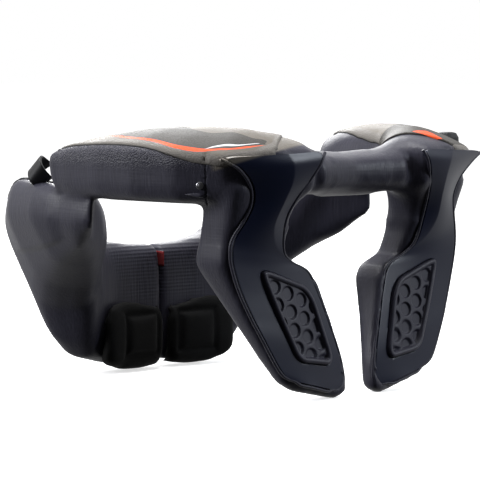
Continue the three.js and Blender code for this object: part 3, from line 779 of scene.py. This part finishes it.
def quilted(piece, low, high):  # a stitched field pressed into the side that faces the chest
    start = min(abs(low[0]), abs(high[0]))
    (middleAcross, middleUp), (halfAcross, halfUp) = pad["quiltMiddle"], pad["quiltHalf"]
    moves = []
    for vert in piece.data.vertices:
        across = (abs(vert.co.x) - start) / (high[0] - low[0])
        up = (vert.co.z - low[2]) / (high[2] - low[2])
        edge = max(abs(across - middleAcross) - halfAcross, abs(up - middleUp) - halfUp)
        if vert.normal.y > 0.2:
            depth = -math.exp(-(edge / 0.035) ** 2) + 0.4 * step(0.0, -0.12, edge)
            moves.append((vert, vert.normal * (pad["quiltDepth"] * depth)))
    for vert, move in moves:
        vert.co += move


def madePad(name, node):
    bm = remeshed(puffed(copied(node), pad["start"]), pad["voxel"])
    piece = shown(name, softened(bm, 2))
    swollen(piece, pad)
    modified(piece, "SUBSURF", levels=1, render_levels=1)
    applied(piece)
    piece.data.update()
    quilted(piece, *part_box(node))
    return finished(piece, padCloth, (node,))


madePad("chestPadLeft", "chest_pad_left")
madePad("chestPadRight", "chest_pad_right")
print("chest pads made")


# Strap, keeper, rivets and tabs

def rubberFinish():
    finish = Finish("mouldedRubber", IOR=1.48)
    speck = finish.grain(1300.0, 1.0)
    smear = finish.grain(30.0, 3.0)
    finish.drive("Base Color", finish.mixed(smear, tone(22, 22, 24), tone(34, 34, 36)))
    finish.drive("Roughness", smear * 0.14 + 0.46)
    finish.relief(speck, 0.00009, 0.5)
    return finish


def webbingFinish():
    finish = Finish("strapWebbing", IOR=1.45, Sheen_Weight=0.2)
    rows = (finish.place(2) * (2 * math.pi / 0.0011)).wave()
    weave = rows * (finish.place(0) * (2 * math.pi / 0.0014)).wave()
    finish.drive("Base Color", finish.mixed(weave.ramp(-0.4, 0.8), tone(16, 16, 18), tone(34, 34, 37)))
    finish.drive("Roughness", weave * 0.05 + 0.66)
    finish.relief(weave, 0.0002, 0.8)
    return finish


def redFinish():
    finish = Finish("redTabCloth", IOR=1.45)
    thread = 2 * math.pi / 0.0009
    weave = (finish.place(2) * thread).wave() * (finish.place(1) * thread).wave()
    finish.drive("Base Color", finish.mixed(weave.ramp(-1, 1), tone(96, 10, 18), tone(140, 18, 28)))
    finish.drive("Roughness", weave * 0.05 + 0.7)
    finish.relief(weave, 0.0002, 0.8)
    return finish


def metalFinish():
    finish = Finish("brushedRivet", IOR=1.5, Metallic=1.0)
    smear = finish.grain(400.0, 3.0)
    finish.drive("Base Color", finish.mixed(smear, tone(150, 150, 155), tone(190, 190, 196)))
    finish.drive("Roughness", smear * 0.15 + 0.25)
    finish.relief(smear, 0.00005, 0.3)
    return finish


def tongueFinish():
    finish = Finish("paleRubber", IOR=1.45, Specular_IOR_Level=0.5)
    scuffed = finish.grain(420.0, 3.0)
    finish.drive("Base Color", finish.mixed(scuffed, tone(44, 44, 54), tone(62, 61, 74)))
    finish.drive("Roughness", scuffed * 0.15 + 0.34)
    finish.relief(scuffed, 0.00005, 0.4)
    return finish


rubber, webbing, redCloth, rivetMetal = rubberFinish(), webbingFinish(), redFinish(), metalFinish()
tongueRubber = tongueFinish()
strapSettings = {"high": 0.0013, "low": -0.0006, "voxel": 0.0011}


def laidStrap():  # the webbing hugs the foam
    bm = remeshed(copied("closure_strap"), strapSettings["voxel"])
    for vert in bm.verts:
        near, normal, _, distance = wingTree.find_nearest(vert.co)
        side = (vert.co - near).dot(normal)
        vert.co = near + normal * (strapSettings["high"] if side > 0.0012 else strapSettings["low"])
    softened(bm, 2, 0.4)
    return bm


keeper = {"foot": (0.1232, -0.0762, 0.1478), "wide": 0.0165, "deep": 0.0150, "high": 0.0100, "wall": 0.0024,
          "lean": 30, "turn": 30, "tilt": 34, "view": (0.682, 0.731, 0.0)}


def turned(degrees, axis):
    return Matrix.Rotation(math.radians(degrees), 4, axis)


def keeperBm():  # a rubber hood: an arched sheet with a thick wall, open at its two ends
    bm = bmesh.new()
    bmesh.ops.create_grid(bm, x_segments=28, y_segments=12, size=0.5)
    for vert in bm.verts:
        angle = math.pi * (vert.co.x + 0.5)
        rise = math.sin(angle) ** 0.45
        spread = keeper["wide"] / 2 * (0.86 + 0.14 * (1 - rise))
        high = rise * keeper["high"] * (1 + 0.5 * vert.co.y)
        vert.co = Vector((-math.cos(angle) * spread, vert.co.y * keeper["deep"], high))
    bmesh.ops.solidify(bm, geom=bm.faces[:], thickness=keeper["wall"])
    bmesh.ops.recalc_face_normals(bm, faces=bm.faces)
    turn = turned(keeper["turn"], "Z") @ turned(keeper["lean"], "Y")
    turn = turned(keeper["tilt"], Vector(keeper["view"])) @ turn
    bmesh.ops.transform(bm, matrix=Matrix.Translation(keeper["foot"]) @ turn, verts=bm.verts)
    return bm


rivet = {"place": (0.1243, 0.0905, 0.1462), "radius": 0.0025, "segments": 28, "turn": 40,
         "rings": ((-0.0012, 1.0), (0.0002, 1.0), (0.0007, 0.92), (0.0007, 0.80), (0.0, 0.76))}


def rivetBm():  # a domed cap in a thin ring
    around, radius = rivet["segments"], rivet["radius"]
    bm = bmesh.new()
    bmesh.ops.create_uvsphere(bm, u_segments=around, v_segments=around // 2, radius=radius * 0.72)
    bmesh.ops.scale(bm, vec=(1, 1, 0.55), verts=bm.verts)
    for height, spread in rivet["rings"]:
        lifted = Matrix.Translation((0, 0, height))
        bmesh.ops.create_circle(bm, segments=around, radius=radius * spread, matrix=lifted)
    edges = [e for e in bm.edges if not e.link_faces]
    for k in range(len(rivet["rings"]) - 1):
        bmesh.ops.bridge_loops(bm, edges=edges[around * k:around * (k + 2)])
    bmesh.ops.recalc_face_normals(bm, faces=bm.faces)
    turn = turned(rivet["turn"], "Z") @ turned(90, "Y")
    bmesh.ops.transform(bm, matrix=Matrix.Translation(rivet["place"]) @ turn, verts=bm.verts)
    return bm


tongue = {"point": (0.1280, 0.0800, 0.1402), "root": (0.1208, 0.0922, 0.1398), "high": 0.0021,
          "proud": 0.0021}


def tongueBm():  # a flat tongue along the wing, pointed away from the seam
    point, root = Vector(tongue["point"]), Vector(tongue["root"])
    away = (root - point).cross(Vector((0, 0, 1))).normalized()
    away = away if away.x > 0 else -away
    bm = bmesh.new()
    bmesh.ops.create_uvsphere(bm, u_segments=40, v_segments=24, radius=1.0)
    for vert in bm.verts:
        share = (vert.co.x + 1) / 2
        full = 0.25 + 0.75 * min(1.0, share * 1.25)
        side = max(-0.85, min(0.85, vert.co.y)) * full
        up = max(-0.8, min(0.8, vert.co.z)) * full
        off = away * side * tongue["proud"] + Vector((0, 0, up * tongue["high"]))
        vert.co = point.lerp(root, share) + off
    bmesh.ops.recalc_face_normals(bm, faces=bm.faces)
    return bm


pull = {"wide": 0.0052, "high": 0.92}  # high is the share of the built tab's height


def pullBm():  # a thin cloth tab, narrower towards its lower end
    low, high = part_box("pull_tab")
    middle, half = (low + high) / 2, (high - low) / 2
    bm = bmesh.new()
    bmesh.ops.create_cube(bm, size=2.0)
    bmesh.ops.subdivide_edges(bm, edges=bm.edges[:], cuts=6, use_grid_fill=True)
    for vert in bm.verts:
        across, deep, up = vert.co
        wide = min(half.x, pull["wide"] / 2) * (0.75 + 0.25 * bulge((up + 1) / 2))
        thin = half.y * (1 - 0.25 * across ** 2)
        vert.co = middle + Vector((across * wide, deep * thin, up * half.z * pull["high"]))
    bmesh.ops.recalc_face_normals(bm, faces=bm.faces)
    return bm


finished(shown("pullTab", pullBm()), redCloth, ("pull_tab",))
finished(shown("closureStrap", laidStrap()), webbing, ("closure_strap",))
finished(shown("strapKeeper", keeperBm()), rubber, ("strap_keeper",))
leftRivet = rivetBm()
rightRivet = mirrored(leftRivet)
finished(shown("wingRivetLeft", leftRivet), rivetMetal, ("wing_rivet_left",))
finished(shown("wingRivetRight", rightRivet), rivetMetal, ("wing_rivet_right",))
leftTongue = tongueBm()
rightTongue = mirrored(leftTongue)
finished(shown("seamTongueLeft", leftTongue), tongueRubber, ("seam_tab_left",))
finished(shown("seamTongueRight", rightTongue), tongueRubber, ("seam_tab_right",))
for name, finish in (("closure_clasp", rubber), ("wing_stop_right", rubber)):
    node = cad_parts[name]  # these two keep their CAD shape
    node.data.materials.clear()
    node.data.materials.append(finish.material)
print("small parts finished")


# Floor, light and camera

studio = {"glow": 0.62, "behind": 1.0, "front": 0.03,
          "lamps": {  # place, target, size, power, colour
              "topLight": ((0.1, -0.1, 1.6), (0, 0, 0.1), 1.0, 26.0, (1, 1, 1)),
              "rearLight": ((-0.9, -1.3, 0.9), (0, 0, 0.15), 0.9, 16.0, (1, 1, 1)),
              "leftLight": ((1.45, -0.75, 0.75), (0, 0, 0.1), 0.6, 20.0, (0.96, 0.97, 1.0)),
              "rightLight": ((-0.9, 1.4, 0.8), (0, 0, 0.1), 0.5, 11.0, (0.86, 0.92, 1.0))}}


def madeFloor():
    bm = bmesh.new()
    bmesh.ops.create_grid(bm, x_segments=1, y_segments=1, size=40.0)
    floor = shown("floor", bm)
    finish = Finish("paleFloor", Roughness=0.9, Specular_IOR_Level=0.0, Emission_Strength=studio["glow"])
    finish.shader.inputs["Emission Color"].default_value = (1, 1, 1, 1)
    finish.drive("Base Color", finish.mixed(finish.grain(0.8, 2.0), tone(247, 247, 247), tone(252, 252, 252)))
    floor.data.materials.append(finish.material)
    floor.visible_diffuse = floor.visible_glossy = False  # the floor shows, but throws little light back up


def addLight(name, place, target, size, power, colour):
    light = bpy.data.lights.new(name, "AREA")
    light.shape, light.size, light.energy, light.color = "DISK", size, power, colour
    lamp = bpy.data.objects.new(name, light)
    lamp.location = place
    lamp.rotation_euler = (Vector(target) - Vector(place)).to_track_quat("-Z", "Y").to_euler()
    scene.collection.objects.link(lamp)


madeFloor()
for name, values in studio["lamps"].items():
    addLight(name, *values)

view = {"azimuth": 137.0, "elevation": 4.0, "roll": 0.26, "distance": 1.695, "lens": 176.6,
        "target": (0, -0.004, 0.1)}
world = bpy.data.worlds.new("paleWorld")


def lightWorld():  # white where the camera looks, a bright back and top and a dim front for the light
    world.use_nodes = True
    nodes, links = world.node_tree.nodes, world.node_tree.links
    spot = nodes.new("ShaderNodeTexCoord")
    behind = nodes.new("ShaderNodeVectorMath")
    behind.operation = "DOT_PRODUCT"
    turn = math.radians(view["azimuth"])
    behind.inputs[1].default_value = (-math.sin(turn), math.cos(turn), 0.35)
    links.new(spot.outputs["Generated"], behind.inputs[0])
    fade = nodes.new("ShaderNodeMapRange")
    for key, value in (("From Min", -0.5), ("From Max", 0.9), ("To Min", studio["front"]),
                       ("To Max", studio["behind"])):
        fade.inputs[key].default_value = value
    links.new(behind.outputs["Value"], fade.inputs["Value"])
    path = nodes.new("ShaderNodeLightPath")
    choice = nodes.new("ShaderNodeMix")
    links.new(path.outputs["Is Camera Ray"], choice.inputs[0])
    links.new(fade.outputs[0], choice.inputs[2])
    choice.inputs[3].default_value = 1.0
    links.new(choice.outputs[0], nodes["Background"].inputs["Strength"])
    nodes["Background"].inputs["Color"].default_value = (1, 1, 1, 1)


lightWorld()
scene.world = world
scene.view_settings.view_transform = "Standard"


def addCamera():
    turn, rise = math.radians(view["azimuth"]), math.radians(view["elevation"])
    away = Vector((math.sin(turn) * math.cos(rise), -math.cos(turn) * math.cos(rise), math.sin(rise)))
    lens = bpy.data.cameras.new("photoCamera")
    lens.lens, lens.sensor_width, lens.clip_start, lens.clip_end = view["lens"], 36.0, 0.05, 100.0
    camera = bpy.data.objects.new("photoCamera", lens)
    aim = (-away).to_track_quat("-Z", "Y").to_matrix() @ Matrix.Rotation(math.radians(view["roll"]), 3, "Z")
    camera.location = Vector(view["target"]) + away * view["distance"]
    camera.rotation_euler = aim.to_euler()
    scene.collection.objects.link(camera)
    scene.camera = camera


addCamera()
print("studio made")
